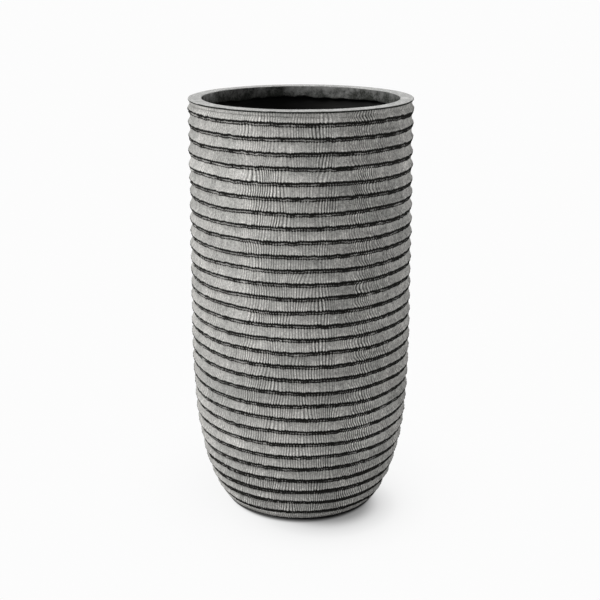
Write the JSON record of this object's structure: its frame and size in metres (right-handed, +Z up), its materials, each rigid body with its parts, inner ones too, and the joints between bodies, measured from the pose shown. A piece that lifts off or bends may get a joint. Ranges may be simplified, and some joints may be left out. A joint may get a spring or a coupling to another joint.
{
  "type": "tall cachepot",
  "caption": "Tall round floor pot with lapped, flared rows up its side, a flat rim, a lined inside and a lift-out drain bung.",
  "frame": {"origin": "centre of the footprint, at floor level", "axes": "+Z up along the pot's axis, -Y towards the viewer of the picture, +X to that viewer's right"},
  "size_m": [0.3652, 0.3652, 0.68],
  "materials": {
    "fibre_clay": "matt, grey wash over a dark ground that stays in the seams",
    "waterproof_coat": "black brushed-on coat",
    "black_rubber": "matt moulded rubber"
  },
  "bodies": {
    "pot": {"pot_shell": "fibre_clay", "inner_lining": "waterproof_coat", "foot_pad_1": "black_rubber", "foot_pad_2": "black_rubber", "foot_pad_3": "black_rubber", "foot_pad_4": "black_rubber"},
    "bung": {"drain_plug": "black_rubber"}
  },
  "joints": [
    {"name": "bung_lift", "type": "slide", "parent": "pot", "child": "bung", "axis": [0, 0, 1], "range_m": [0, 0.7]}
  ]
}
